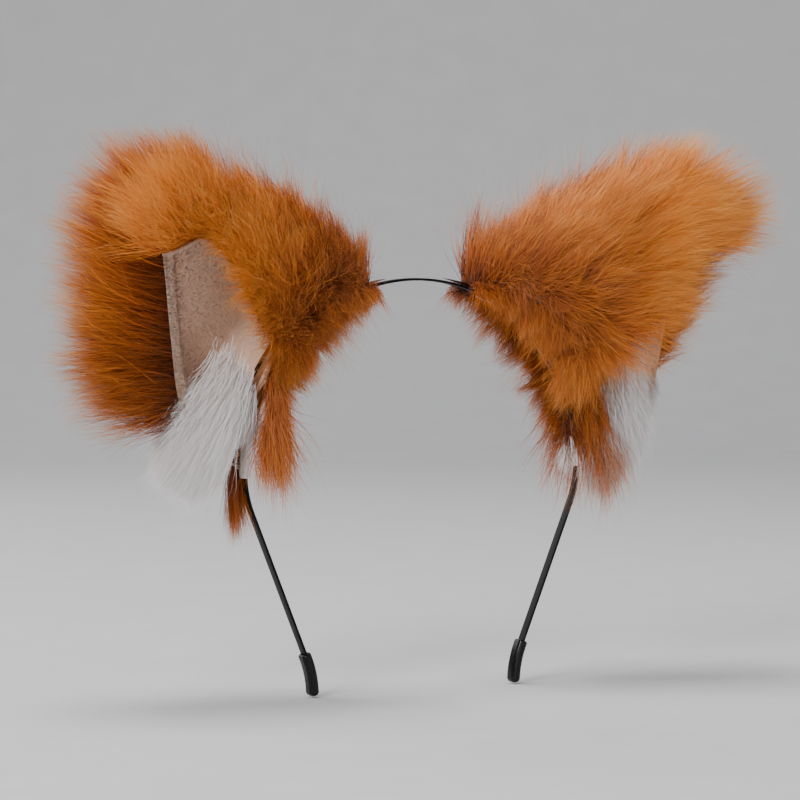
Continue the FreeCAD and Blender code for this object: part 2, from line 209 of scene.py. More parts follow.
def mesh_piece(name, points, faces, material):
    """A smooth piece from points in millimetres and faces."""
    mesh = bpy.data.meshes.new(name)
    mesh.from_pydata((np.asarray(points) * MM).tolist(), [], faces)
    mesh.materials.append(material)
    mesh.shade_smooth()
    mesh.update()
    return link(name, mesh)


def grid_faces(rows, columns, closed=False):
    """Quads of a grid of points; closed joins its last column to its first."""
    faces = []
    for row in range(rows - 1):
        for column in range(columns if closed else columns - 1):
            after = (column + 1) % columns
            faces.append((row * columns + column, row * columns + after,
                          (row + 1) * columns + after, (row + 1) * columns + column))
    return faces


# Darkest and lightest tone, and half of the breadth that a fibre takes in the tone's direction as UVs.
TONE_LIMITS = (0.02, 0.98)
UV_HALF_WIDTH = 0.012


class Strands:
    """Fibres of one kind: their roots, directions and looks, as arrays with a row for each fibre."""

    def __init__(self, roots, normals, starts, ends, lengths, widths, tones, seed):
        self.roots = roots
        self.normals = unit(normals)
        self.starts = unit(starts)
        self.ends = unit(ends)
        self.lengths = lengths
        self.widths = widths
        self.tones = np.clip(tones, *TONE_LIMITS)
        self.clump_tones = 0.0
        self.random = np.random.default_rng(seed)

    def keep(self, chosen):
        """The same fibres without those that aren't chosen."""
        for name in ("roots", "normals", "starts", "ends", "lengths", "widths", "tones"):
            setattr(self, name, getattr(self, name)[chosen])
        return self

    def paths(self, segments, curl, clumping, clump_size, tight):
        """Points along every fibre: a bend from start to end direction, a curl and clumping."""
        count = len(self.roots)
        part = np.linspace(0, 1, segments + 1)[None, :, None]
        reach = self.lengths[:, None, None]
        path = self.roots[:, None, :] + reach * (
            (part - part ** 2 / 2) * self.starts[:, None, :] + part ** 2 / 2 * self.ends[:, None, :])
        leaders = self.random.choice(count, max(count // clump_size, 1), replace=False)
        tree = kdtree.KDTree(len(leaders))
        for number, leader in enumerate(leaders):
            tree.insert(self.roots[leader], number)
        tree.balance()
        clump = np.array([tree.find(root)[1] for root in self.roots])
        self.clump_tones = self.random.normal(size=len(leaders))[clump] * 0.13
        shift = unit(self.random.normal(size=(len(leaders), 3)))[clump][:, None, :]
        swing = self.random.uniform(0.3, 1.0, len(leaders))[clump][:, None, None]
        path = path + shift * swing * curl * 1.6 * part ** 2
        leader_path = path[leaders][clump]
        grip = self.random.uniform(0.35, 1.0, count)[:, None, None] * clumping
        spread = (self.roots - self.roots[leaders][clump])[:, None, :] * tight
        path = path + (leader_path + spread - path) * grip * part ** 1.4
        turns = self.random.uniform(0.5, 1.6, count)[:, None, None]
        phase = self.random.uniform(0, 2 * math.pi, count)[:, None, None]
        sway = unit(self.random.normal(size=(count, 3)))[:, None, :]
        size = (self.random.uniform(0.2, 1.0, count) ** 2)[:, None, None] * curl
        return path + sway * size * part * np.sin(2 * math.pi * turns * part + phase)

    def stay_in_room(self, path, side):
        """The same paths, with each fibre that would leave the room made shorter."""
        placed = place_ear(path, side)
        root = placed[:, :1]
        reach = placed[:, 1:] - root
        room = np.where(reach > 0, ROOM[1] - root, ROOM[0] - root)
        share = room / np.where(np.abs(reach) < 1e-6, 1e-6, reach)
        least = np.clip(share.min(axis=(1, 2)), 0, None)
        trim = np.where(least < 1.08, np.minimum(least, 1) * self.random.uniform(0.80, 1.0, len(path)), 1.0)
        return path[:, :1] + (path - path[:, :1]) * trim[:, None, None]

    def mesh(self, name, material, side, segments, curl, clumping, clump_size=18, tight=0.45, soften=0.6):
        """One mesh of thin tapering ribbons, with its tone and its place along the fibre as UVs."""
        path = self.stay_in_room(self.paths(segments, curl, clumping, clump_size, tight), side)
        count = len(path)
        along = unit(np.gradient(path, axis=1))
        roll = self.random.normal(size=(count, 1, 3))
        across = unit(np.cross(along, roll))
        faces_out = np.sign(np.einsum("ijk,ik->ij", np.cross(across, along), self.normals))[..., None]
        across = across * np.where(faces_out == 0, 1, faces_out)
        part = np.linspace(0, 1, segments + 1)
        taper = (1 - part ** 1.6)[None, :, None] * self.widths[:, None, None] / 2
        one = (path - across * taper)[:, :-1]
        other = (path + across * taper)[:, :-1]
        rings = np.stack([one, other], axis=2).reshape(count, segments * 2, 3)
        points = np.concatenate([rings, path[:, -1:]], axis=1)
        ribbon = np.cross(across, along)
        shade = unit(soften * self.normals[:, None, :] + (1 - soften) * ribbon)
        shades = np.concatenate([np.repeat(shade[:, :-1], 2, axis=1), shade[:, -1:]], axis=1)
        points = place_ear(points, side)
        shades = place_ear(shades, side)

        edge = UV_HALF_WIDTH
        corners = []
        corner_uv = []
        for segment in range(segments - 1):
            low = segment * 2
            corners += [low, low + 1, low + 3, low + 2]
            corner_uv += [(-edge, part[segment]), (edge, part[segment]),
                          (edge, part[segment + 1]), (-edge, part[segment + 1])]
        low = (segments - 1) * 2
        corners += [low, low + 1, low + 2]
        corner_uv += [(-edge, part[-2]), (edge, part[-2]), (0, part[-1])]
        corners = np.array(corners)
        if side < 0:
            corners, corner_uv = flip_winding(corners, corner_uv, segments)
        corner_uv = np.array(corner_uv)
        each = segments * 2 + 1
        loops = (corners[None, :] + np.arange(count)[:, None] * each).ravel()
        uv = np.repeat(corner_uv[None], count, axis=0)
        tones = np.clip(self.tones + self.clump_tones, *TONE_LIMITS)
        uv[..., 0] = np.clip(uv[..., 0] + tones[:, None], 0.001, 0.999)
        uv[..., 1] = 0.002 + 0.996 * uv[..., 1]

        mesh = bpy.data.meshes.new(name)
        mesh.vertices.add(count * each)
        mesh.vertices.foreach_set("co", (points * MM).astype(np.float32).ravel())
        mesh.loops.add(len(loops))
        mesh.loops.foreach_set("vertex_index", loops.astype(np.int32))
        sizes = np.array([4] * (segments - 1) + [3])
        starts = np.concatenate([[0], np.cumsum(sizes)[:-1]])
        mesh.polygons.add(count * segments)
        loop_starts = (starts[None, :] + np.arange(count)[:, None] * len(corners)).ravel()
        mesh.polygons.foreach_set("loop_start", loop_starts.astype(np.int32))
        mesh.update(calc_edges=True)
        layer = mesh.uv_layers.new(name="OFBake")
        layer.data.foreach_set("uv", uv.astype(np.float32).ravel())
        mesh.materials.append(material)
        mesh.shade_smooth()
        mesh.normals_split_custom_set_from_vertices(shades.reshape(-1, 3))
        return link(name, mesh)


def flip_winding(corners, corner_uv, segments):
    """The same faces wound the other way, for the mirrored ear."""
    corner_list = []
    uv_list = []
    for segment in range(segments):
        size = 4 if segment < segments - 1 else 3
        start = segment * 4
        corner_list += list(corners[start:start + size][::-1])
        uv_list += corner_uv[start:start + size][::-1]
    return np.array(corner_list), uv_list


# ---------------------------------------------------------------- materials

def new_material(name):
    """A new node material, with its node tree and its principled shader."""
    material = bpy.data.materials.new(name)
    material.use_nodes = True
    shader = material.node_tree.nodes["Principled BSDF"]
    return material, material.node_tree, shader


def add_ramp(tree, factor, stops):
    """Colour ramp with stops of position and colour."""
    node = tree.nodes.new("ShaderNodeValToRGB")
    ramp = node.color_ramp
    while len(ramp.elements) < len(stops):
        ramp.elements.new(0.5)
    for element, (position, colour) in zip(ramp.elements, stops):
        element.position = position
        element.color = (*colour, 1)
    tree.links.new(factor, node.inputs["Fac"])
    return node.outputs["Color"]


def fibre_material(name, dark_stops, light_stops, roughness, sheen, sheen_tint):
    """Fibres coloured from root to tip, between a dark and a light set of colours by their tone."""
    material, tree, shader = new_material(name)
    uv = tree.nodes.new("ShaderNodeUVMap")
    uv.uv_map = "OFBake"
    split = tree.nodes.new("ShaderNodeSeparateXYZ")
    tree.links.new(uv.outputs["UV"], split.inputs[0])
    dark = add_ramp(tree, split.outputs["Y"], dark_stops)
    light = add_ramp(tree, split.outputs["Y"], light_stops)
    mix = tree.nodes.new("ShaderNodeMix")
    mix.data_type = "RGBA"
    tree.links.new(split.outputs["X"], mix.inputs["Factor"])
    tree.links.new(dark, mix.inputs["A"])
    tree.links.new(light, mix.inputs["B"])
    tree.links.new(mix.outputs["Result"], shader.inputs["Base Color"])
    shader.inputs["Roughness"].default_value = roughness
    shader.inputs["Sheen Weight"].default_value = sheen
    shader.inputs["Sheen Tint"].default_value = (*sheen_tint, 1)
    shader.inputs["Specular IOR Level"].default_value = 0.35
    return material


BUMP_HEIGHT = 0.0004
NOISE_DETAIL = 6.0


def noise_material(name, stops, scale, roughness, bump, stretch=(1, 1, 1), metallic=0.0, sheen=0.0,
                   specular=0.4):
    """Surface with mottled colour and a matching bump, from noise in the object's own space."""
    material, tree, shader = new_material(name)
    place = tree.nodes.new("ShaderNodeTexCoord")
    mapping = tree.nodes.new("ShaderNodeMapping")
    mapping.inputs["Scale"].default_value = stretch
    noise = tree.nodes.new("ShaderNodeTexNoise")
    noise.inputs["Scale"].default_value = scale
    noise.inputs["Detail"].default_value = NOISE_DETAIL
    tree.links.new(place.outputs["Object"], mapping.inputs["Vector"])
    tree.links.new(mapping.outputs["Vector"], noise.inputs["Vector"])
    colour = add_ramp(tree, noise.outputs["Fac"], stops)
    tree.links.new(colour, shader.inputs["Base Color"])
    rough = tree.nodes.new("ShaderNodeMapRange")
    rough.inputs["To Min"].default_value = roughness[0]
    rough.inputs["To Max"].default_value = roughness[1]
    tree.links.new(noise.outputs["Fac"], rough.inputs["Value"])
    tree.links.new(rough.outputs["Result"], shader.inputs["Roughness"])
    raised = tree.nodes.new("ShaderNodeBump")
    raised.inputs["Strength"].default_value = bump
    raised.inputs["Distance"].default_value = BUMP_HEIGHT
    tree.links.new(noise.outputs["Fac"], raised.inputs["Height"])
    tree.links.new(raised.outputs["Normal"], shader.inputs["Normal"])
    shader.inputs["Metallic"].default_value = metallic
    shader.inputs["Specular IOR Level"].default_value = specular
    shader.inputs["Sheen Weight"].default_value = sheen
    return material


# Orange pile, coloured from root to tip: the near-black roots are painted shade deep in the pile, and the golden
# tips are partly the fibres' own colour and partly painted light.
ORANGE = fibre_material(
    "orange_pile",
    [(0.0, (0.050, 0.008, 0.001)), (0.40, (0.190, 0.032, 0.002)), (0.78, (0.420, 0.085, 0.005)),
     (1.0, (0.600, 0.170, 0.016))],
    [(0.0, (0.280, 0.045, 0.002)), (0.40, (0.680, 0.150, 0.006)), (0.78, (0.920, 0.290, 0.018)),
     (1.0, (0.980, 0.560, 0.160))],
    0.5, 0.06, (1.0, 0.75, 0.45))
WHITE = fibre_material(
    "white_pile",
    [(0.0, (0.600, 0.470, 0.420)), (0.4, (0.760, 0.670, 0.640)), (1.0, (0.860, 0.800, 0.790))],
    [(0.0, (0.880, 0.800, 0.770)), (0.4, (0.960, 0.925, 0.915)), (1.0, (0.985, 0.965, 0.960))],
    0.6, 0.2, (1.0, 0.97, 0.95))
PLUSH = fibre_material(
    "plush_pile",
    [(0.0, (0.640, 0.320, 0.190)), (0.6, (0.700, 0.370, 0.230)), (1.0, (0.760, 0.440, 0.290))],
    [(0.0, (0.950, 0.730, 0.580)), (0.6, (0.970, 0.800, 0.670)), (1.0, (0.980, 0.860, 0.750))],
    0.75, 0.05, (1.0, 0.90, 0.84))
SKIN = noise_material("fur_backing_cloth", [(0.3, (0.045, 0.012, 0.003)), (0.7, (0.14, 0.04, 0.008))],
                      900.0, (0.8, 1.0), 0.4)
LINING = noise_material("plush_cloth", [(0.3, (0.80, 0.51, 0.36)), (0.7, (0.88, 0.62, 0.47))],
                        1400.0, (0.8, 1.0), 0.3, sheen=0.1)
LACQUER = noise_material("black_lacquer", [(0.3, (0.002, 0.002, 0.002)), (0.7, (0.005, 0.005, 0.006))],
                         500.0, (0.32, 0.44), 0.08, specular=0.10)
CAP = noise_material("black_moulded_cap", [(0.3, (0.003, 0.003, 0.003)), (0.7, (0.008, 0.008, 0.009))],
                     1200.0, (0.16, 0.26), 0.08, specular=0.22)
THREAD = noise_material("white_thread", [(0.3, (0.66, 0.63, 0.61)), (0.7, (0.90, 0.88, 0.87))],
                        3000.0, (0.6, 0.85), 0.5, sheen=0.4)
FELT = noise_material("felt", [(0.3, (0.26, 0.10, 0.04)), (0.7, (0.38, 0.17, 0.08))],
                      2600.0, (0.85, 1.0), 0.7, sheen=0.1)
STEEL = noise_material("drawn_steel_wire", [(0.3, (0.42, 0.42, 0.43)), (0.7, (0.62, 0.62, 0.63))],
                       1500.0, (0.25, 0.4), 0.1, stretch=(1, 1, 0.05), metallic=1.0)

# ---------------------------------------------------------------- fur

def flap_edge(height):
    """Angle of the front flap's edge at a height."""
    return np.maximum(smooth_curve(FLAP, 1, height), 3.0)


def half_breadth(height):
    """Half of the cloth's breadth at a height."""
    return (smooth_curve(CLOTH, 2, height) - smooth_curve(CLOTH, 1, height)) / 2


def above_hoop(points):
    """Distance of points outside the hoop's arc."""
    return np.hypot(points[:, 0], points[:, 2]) - HOOP_RADIUS


# Area of cloth for each degree and millimetre at the ear's broadest, times the widest arc.
MOST_AREA = 240.0


def scatter(count, seed, heights, keep):
    """Random angles and heights spread evenly over the ear's cloth, outside the hoop.

    keep gives the share of the roots, from 0 to 1, that stay at an angle and height.
    """
    random = np.random.default_rng(seed)
    kept = []
    total = 0
    while total < count:
        height = random.uniform(*heights, count * 2)
        first = flap_edge(height)
        angle = first + (RIM_EDGE - first) * random.uniform(0, 1, count * 2)
        around = cloth_point(angle + 0.5, height, 0) - cloth_point(angle - 0.5, height, 0)
        up = (cloth_point(angle, height + 0.2, 0) - cloth_point(angle, height - 0.2, 0)) / 0.4
        area = np.linalg.norm(np.cross(around, up), axis=-1) * (RIM_EDGE - first)
        good = random.uniform(0, 1, count * 2) < area / MOST_AREA * keep(angle, height)
        good &= above_hoop(cloth_point(angle, height, 0)) > 1.2
        kept.append(np.stack([angle[good], height[good]], axis=-1))
        total += int(good.sum())
    both = np.concatenate(kept)[:count]
    return both[:, 0], both[:, 1]


def patchy(points, size, seed):
    """Soft random values around 0 that change over a distance, for tones and tufts."""
    random = np.random.default_rng(seed)
    value = np.zeros(len(points))
    for octave in range(5):
        wave = unit(random.normal(size=(3,))) * 2 * math.pi / (size / (1 + octave * 0.7))
        value += np.sin(points @ wave + random.uniform(0, 2 * math.pi)) / (1 + octave * 0.4)
    return value / 2.4


def near_place(points, place, reach):
    """1 at a place, falling smoothly to 0 some way off, as a column."""
    return np.exp(-(np.linalg.norm(points - np.array(place), axis=1) / reach) ** 2)[:, None]


def lateral_share(angle):
    """1 on the lateral rim, 0 from the middle of the back and of the front on."""
    turn = np.abs((angle + 180.0) % 360.0 - 180.0)
    return smooth_step((75.0 - turn) / 50.0)


def off_foot(angle, height, side):
    """No orange roots on the rim's foot, where the white fringe hangs."""
    foot = smooth_step((angle - (318.0 if side > 0 else 297.0)) / 20.0)
    return 1 - foot * (1 - smooth_step((height - (88.0 if side > 0 else 75.0)) / 14.0))


def orange_strands(count, seed, side, length, width, keep, wild=1.0, light=0.0):
    """Orange pile: it fans out from the hoop, lifts off the cloth and hangs over the hoop at the seam."""
    random = np.random.default_rng(seed + 1)
    angle, height = scatter(count, seed, (46.0, APEX_HEIGHT),
                            lambda turn, level: keep(turn, level) * off_foot(turn, level, side))
    roots = cloth_point(angle, height, 0)
    normals = cloth_normal(angle, height, 0)
    fan = roots - FLOW_CENTRE
    fan[:, 0] *= np.where(fan[:, 0] < 0, 0.3, 1.0)
    rim = lateral_share(angle)
    edge = (angle - flap_edge(height)) * np.radians(half_breadth(height))
    hem = (1 - smooth_step(edge / 8.0)) * smooth_step((124.0 - height) / 3.0)
    if side > 0:
        fan[:, 0] *= 1 - rim * (0.85 - 0.45 * smooth_step((height - 100.0) / 28.0))
        fan[:, 0] += 46.0 * (1 - smooth_step(edge / 16.0)) * smooth_step((height - 66.0) / 12.0)
    else:
        fan[:, 0] += 42.0 * hem
    flow = unit(fan)
    climb = smooth_step((height - 58.0) / 60.0)[:, None]
    ridge = np.exp(-((angle - 180.0) / 45.0) ** 2)[:, None]
    rise = (0.34 + 0.40 * climb) * (1 - 0.45 * ridge * (1 - climb ** 2))
    stray = random.normal(size=(count, 3)) * wild
    start = flow * 0.8 + normals * rise * 1.5 + stray * 0.15
    end = flow + normals * rise * 0.3 + DOWN * 0.14 + stray * 0.2
    skirt = (1 - smooth_step((above_hoop(roots) - 3.0) / 13.0))[:, None]
    skirt = skirt * smooth_step((roots[:, 0:1] + 36.0) / 12.0)
    inward = -unit(roots * np.array([1, 0, 1]))
    hang = inward * 0.4 + DOWN * 0.75 + normals * 0.35 + stray * 0.18
    start = start * (1 - skirt) + (normals * 0.8 + inward * 0.5 + stray * 0.15) * skirt
    end = end * (1 - skirt) + hang * skirt
    foot = near_place(roots, (-37.0, 0.0, 53.0), 9.0)
    upright = -DOWN * 0.4 + np.array([-0.55, -0.1, 0.6])
    start = start * (1 - foot) + (upright + normals * 0.4 + stray * 0.2) * foot
    end = end * (1 - foot) + (upright + stray * 0.25) * foot
    lengths = random.uniform(*length, count) * (0.70 + 0.30 * climb[:, 0])
    lengths *= (1 + 0.16 * patchy(roots, 22.0, seed + 5) + 0.14 * patchy(roots, 9.0, seed + 6))
    lengths *= (1 - 0.35 * skirt[:, 0]) * (1 + (0.1 if side > 0 else -0.3) * foot[:, 0])
    if side > 0:
        lengths *= 1 - 0.55 * rim * (1 - smooth_step((height - 92.0) / 30.0))
    else:
        lengths *= (1 - 0.35 * hem) * (1 + 0.16 * rim)
    widths = random.uniform(0.7, 1.2, count) * width
    # Tone: random patches and fibres, plus painted light and shade: the rise with height is painted light from
    # above, the drop on the skirt over the hoop is painted shade, and light is a painted glow on the fringes and
    # flyaways.
    tones = (0.20 + 0.50 * climb[:, 0] + 0.20 * patchy(roots, 24.0, seed + 3)
             + 0.12 * patchy(roots, 7.0, seed + 4) - 0.12 * skirt[:, 0]
             + random.normal(size=count) * 0.13 + light)
    return Strands(roots, normals, start, end, lengths, widths, tones, seed + 2)


def everywhere(angle, height):
    """Orange roots all over the ear."""
    return angle > 0


def back_half(angle, height):
    """Orange roots of the back of the ear."""
    return angle > 180


def front_half(angle, height):
    """Orange roots of the front of the ear."""
    return angle <= 180


def fringe(angle, height):
    """Orange roots along the lateral rim and the apex."""
    return np.maximum(lateral_share(angle), smooth_step((height - 108.0) / 14.0))


def seam_strands(count, seed, side):
    """Orange pile along the hoop, where the ear is sewn on: it hangs down over the strip."""
    random = np.random.default_rng(seed)
    along = random.uniform(0, 1, count)
    turn = np.radians(-34.0 + (63.0 if side > 0 else 60.0) * along)
    low = smooth_step((along - 0.6) / 0.35)
    corner = 1 - smooth_step(along / 0.2)
    radius = random.uniform(64.6, 68.4, count) - 2.5 * corner - (6.4 if side < 0 else 3.2) * low
    front = random.uniform(0, 1, count) < 0.68
    off = random.uniform(3.2, 7.5, count) + (7.0 * low if side < 0 else -0.8 * low) - 0.8 * corner
    back = np.where(front, -1.0, 1.0) * off
    inner = (random.uniform(0, 1, count) < 0.4 * low) & (side > 0)
    radius = np.where(inner, random.uniform(61.0, 62.8, count), radius)
    back = np.where(inner, random.uniform(-4.5, 1.0, count), back)
    tail = (random.uniform(0, 1, count) < 0.07) & (side < 0)
    turn = np.where(tail, np.radians(random.uniform(27.5, 31.5, count)), turn)
    radius = np.where(tail, random.uniform(65.8, 69.0, count), radius)
    back = np.where(tail, random.uniform(1.5, 4.2, count), back)
    roots = np.stack([radius * np.sin(turn), back, radius * np.cos(turn)], axis=-1)
    outward = unit(roots * np.array([1, 0, 1]))
    normals = unit(np.sign(back)[:, None] * np.array([0, 1.0, 0]) + outward * 0.35)
    stray = random.normal(size=(count, 3))
    bulge = (0.8 - 0.5 * low)[:, None]
    medial = np.array([-0.35 if side > 0 else 0.0, 0.0, 0.0]) * random.uniform(0, 1, (count, 1))
    start = normals * bulge + DOWN * 0.35 + outward * 0.2 + stray * 0.15
    end = DOWN * 0.95 - outward * 0.2 + normals * 0.2 + medial + stray * 0.16
    lengths = random.uniform(0.75, 1.15, count) * (13.0 + (22.0 if side > 0 else 17.0) * low)
    lengths *= 1 + 0.22 * patchy(roots, 8.0, seed + 1)
    start = np.where(tail[:, None], DOWN - SIDEWAYS * 0.05 + stray * 0.05, start)
    end = np.where(tail[:, None], DOWN - SIDEWAYS * 0.09 + stray * 0.05, end)
    lengths = np.where(tail, random.uniform(22.0, 36.0, count), lengths)
    # Low tone: painted shade, as on the pile low on the ear where it meets the hoop.
    tones = 0.22 + 0.2 * patchy(roots, 9.0, seed + 2) + random.normal(size=count) * 0.12
    widths = random.uniform(0.16, 0.26, count)
    return Strands(roots, normals, start, end, lengths, widths, tones, seed + 3)


def flap_hem(angle, height):
    """Orange roots along the front flap's edge."""
    edge = (angle - flap_edge(height)) * np.radians(half_breadth(height))
    return 1 - smooth_step((edge - 5.0) / 4.0)


def make_fur(name, side):
    """All the orange fur of one ear, in pieces that each stay a reasonable size."""
    seed = 100 if side > 0 else 500
    short = dict(segments=4, curl=1.8, clumping=0.5)
    guard = dict(segments=6, curl=3.0, clumping=0.9, clump_size=34, tight=0.3)
    # Each layer's name, count, lengths, width, place, nature and look. The light in a nature lifts the tone of the
    # fringes, hem and flyaways: a painted glow of light at the fur's edges.
    layers = [
        ("underfur_back", 17000, (15, 25), 0.30, back_half, dict(wild=1.2), short),
        ("underfur_front", 14000, (13, 22), 0.30, front_half, dict(wild=1.2), short),
        ("fur_back", 16000, (27, 40), 0.21, back_half, {}, guard),
        ("fur_front", 15000, (23, 35), 0.21, front_half, {}, guard),
        ("fur_fringe", 9000, (30, 44), 0.18, fringe, dict(wild=1.6, light=0.15),
         dict(segments=6, curl=3.6, clumping=0.95, clump_size=40, tight=0.25)),
        ("hem_fringe", 7000, (32, 44) if side > 0 else (19, 27), 0.20, flap_hem, dict(light=0.25, wild=1.5),
         dict(segments=6, curl=4.2, clumping=0.8, clump_size=26, tight=0.3)),
        ("flyaways", 3600, (34, 46), 0.14, everywhere, dict(wild=2.0, light=0.55),
         dict(segments=7, curl=4.0, clumping=0.1)),
    ]
    pieces = []
    for number, (layer, count, length, width, keep, nature, look) in enumerate(layers):
        strands = orange_strands(count, seed + 10 * number, side, length, width, keep, **nature)
        pieces.append(strands.mesh(f"{name}_ear_{layer}", ORANGE, side, **look))
    pieces.append(seam_strands(11000, seed + 90, side).mesh(
        f"{name}_ear_seam_fringe", ORANGE, side, segments=6, curl=2.6, clumping=0.75))
    return pieces


# ---------------------------------------------------------------- cloth layers

# Where the cloth ends along the hoop, as an angle from the ear's axis: the pad's lower end.
CLOTH_END = math.radians(28.5)


def pull_to_hoop(points, gap=1.2):
    """Points below the sewn line are moved out to it, so that the cloth ends on the hoop."""
    radius = np.hypot(points[:, 0], points[:, 2])
    scale = np.maximum((HOOP_RADIUS + gap) / np.maximum(radius, 1.0), 1.0)
    turn = np.minimum(np.arctan2(points[:, 0], points[:, 2]), CLOTH_END)
    return np.stack([radius * scale * np.sin(turn), points[:, 1], radius * scale * np.cos(turn)], axis=-1)


def make_backing(name, side):
    """The cloth that the orange pile is knotted into."""
    rows = 60
    columns = 72
    points = []
    for height in np.linspace(CLOTH_LOW, APEX_HEIGHT, rows):
        angle = np.linspace(float(flap_edge(np.array([height]))[0]), RIM_EDGE, columns)
        points.append(pull_to_hoop(cloth_point(angle, np.full(columns, height), 0)))
    points = place_ear(np.array(points).reshape(-1, 3), side)
    return mesh_piece(f"{name}_ear_backing", points, grid_faces(rows, columns), SKIN)


def lining_point(share, height):
    """Points of the plush lining: it lies inside the ear and rolls out over both rims."""
    first = flap_edge(height)
    arc = np.radians(RIM_EDGE - first) * half_breadth(height)
    edge = np.minimum(share, 1 - share) * arc
    past = np.minimum(np.degrees(1.6 / half_breadth(height)), 20.0)
    angle = first - past + (RIM_EDGE - first + 2 * past) * share
    inset = 4.6 - 6.1 * (1 - smooth_step(edge / 6.0)) ** 1.3
    return cloth_point(angle, height, np.minimum(inset, half_breadth(height) - 0.5))


def lining_normal(share, height):
    """Unit normals of the lining's plush face."""
    across = (lining_point(np.minimum(share + 0.004, 1), height)
              - lining_point(np.maximum(share - 0.004, 0), height))
    up = lining_point(share, height + 0.2) - lining_point(share, height - 0.2)
    return unit(np.cross(across, up))


def make_lining(name, side):
    """Short-pile plush cloth inside the ear."""
    rows = 60
    columns = 110
    share = (1 - np.cos(np.linspace(0, math.pi, columns))) / 2
    points = [pull_to_hoop(lining_point(share, np.full(columns, height)), gap=4.4)
              for height in np.linspace(45.0, 126.0, rows)]
    points = place_ear(np.array(points).reshape(-1, 3), side)
    return mesh_piece(f"{name}_ear_lining_cloth", points, grid_faces(rows, columns), LINING)


def lining_strands(count, seed):
    """Short plush fibres all over the lining's face and its rolled rims."""
    random = np.random.default_rng(seed)
    height = random.uniform(47.0, 124.5, count)
    share = random.uniform(0, 1, count)
    rims = random.uniform(0, 1, count) < 0.4
    share = np.where(rims, np.abs(np.round(share) - random.uniform(0, 0.09, count)), share)
    roots = lining_point(share, height)
    outside = above_hoop(roots) > 3.0
    share, height, roots = share[outside], height[outside], roots[outside]
    count = len(roots)
    normals = lining_normal(share, height)
    edge = np.minimum(share, 1 - share)
    sweep = np.array([0.1, -0.25, 0.45])
    stray = random.normal(size=(count, 3)) * 0.2
    start = normals + stray
    end = normals * 0.7 + sweep + stray
    lengths = random.uniform(0.5, 1.0, count) * (1 + 1.4 * (1 - smooth_step(edge / 0.06)))
    # Tone: darker near the flap and lighter towards the lateral rim, painted shade and light, and lighter still on
    # both rolled rims, a painted highlight; the patches and single fibres vary at random.
    tones = 0.30 + 0.50 * share + 0.10 * patchy(roots, 20.0, 9) + random.normal(size=count) * 0.05
    tones += 0.40 * (1 - smooth_step(edge / 0.08))
    widths = np.full(count, 0.18)
    return Strands(roots, normals, start, end, lengths, widths, tones, seed + 1)


# White fibres that would fall over the hoop's lower binding end at its top. Fibres count as falling
# over it when they pass it nearer to the middle than a distance. One that hangs in front of the
# binding counts as nearer by a share of how far in front it is.
BINDING_TOP = 11.5
BINDING_CLEAR = 65.0
FRONT_SHARE = 0.58
USUAL_SWING = 5.0


def off_binding(strands, side):
    """The white fibres, trimmed so that the lower binding of one ear stays in sight."""
    if side > 0:
        return strands
    out_from_middle = strands.roots @ SIDEWAYS + FRONT_SHARE * (strands.roots[:, 1] - USUAL_SWING)
    drop = -(strands.roots @ DOWN) - BINDING_TOP
    slope = 0.5 * ((strands.starts + strands.ends) @ SIDEWAYS)
    covers = (out_from_middle + slope * np.maximum(drop, 0.0) < BINDING_CLEAR) & (strands.lengths > drop)
    strands.lengths = np.where(covers, np.maximum(drop, 0.0), strands.lengths)
    return strands.keep(strands.lengths > 2.0)


def tuft_point(share, height):
    """Points of the cushion that the white fringe grows from, across the mouth of the ear."""
    first = flap_edge(height)
    flap = cloth_point(first + 2.0, height, 3.0)
    rim = cloth_point(np.full_like(height, 358.0), height, 1.0)
    part = share[:, None]
    bulge = 4.0 * np.sin(math.pi * part) * np.array([0.3, -0.9, 0.0])
    return flap * (1 - part) + rim * part + bulge


def tuft_strands(count, seed, side, length, width):
    """Long white fibres that fall out of the lower part of the mouth and over the rim's foot."""
    random = np.random.default_rng(seed)
    inner, outer = (0.26, 1.04) if side < 0 else (0.38, 0.92)
    share = inner + (outer - inner) * random.uniform(0, 1, count) ** (0.7 if side < 0 else 0.85)
    if side < 0:
        top = 84.0 - 5.0 * share + 2.0 * np.sin(share * 17.0) + random.uniform(-10.0, 7.0, count)
    else:
        top = 86.0 + 6.0 * share + random.normal(size=count) * 4.0
    height = top - (top - 52.0) * random.uniform(0, 1, count) ** 0.9
    roots = pull_to_hoop(tuft_point(share, height))
    roots[:, 1] += 6.5 * smooth_step((height - top + 15.0) / 15.0)
    out = np.array([0.40, -0.90, 0.0])
    stray = random.normal(size=(count, 3))
    if side < 0:
        flare = 0.36 + 1.5 * share ** 3 * random.uniform(0.2, 1, count)
        settle = 0.58 + 0.12 * share
    else:
        flare = settle = 0.12 * (share - 0.5)
    start = out * 0.45 + DOWN * 0.6 + SIDEWAYS * flare[:, None] + stray * 0.14
    end = DOWN + SIDEWAYS * settle[:, None] + out * 0.05 + stray * 0.14
    full = smooth_step((94.0 - height) / 24.0)
    lengths = random.uniform(*length, count) * (0.20 + 0.80 * full)
    if side < 0:
        lengths *= (0.60 + 0.60 * smooth_step((share - 0.26) / 0.30)
                    * (1 - 0.4 * smooth_step((share - 0.6) / 0.4)))
    tones = 0.45 + 0.27 * full + 0.2 * patchy(roots, 11.0, seed + 3) + random.normal(size=count) * 0.10
    normals = np.tile(unit(out), (count, 1))
    widths = random.uniform(0.8, 1.2, count) * width
    strands = Strands(roots, normals, start, end, lengths, widths, tones, seed + 2)
    return off_binding(strands, side)


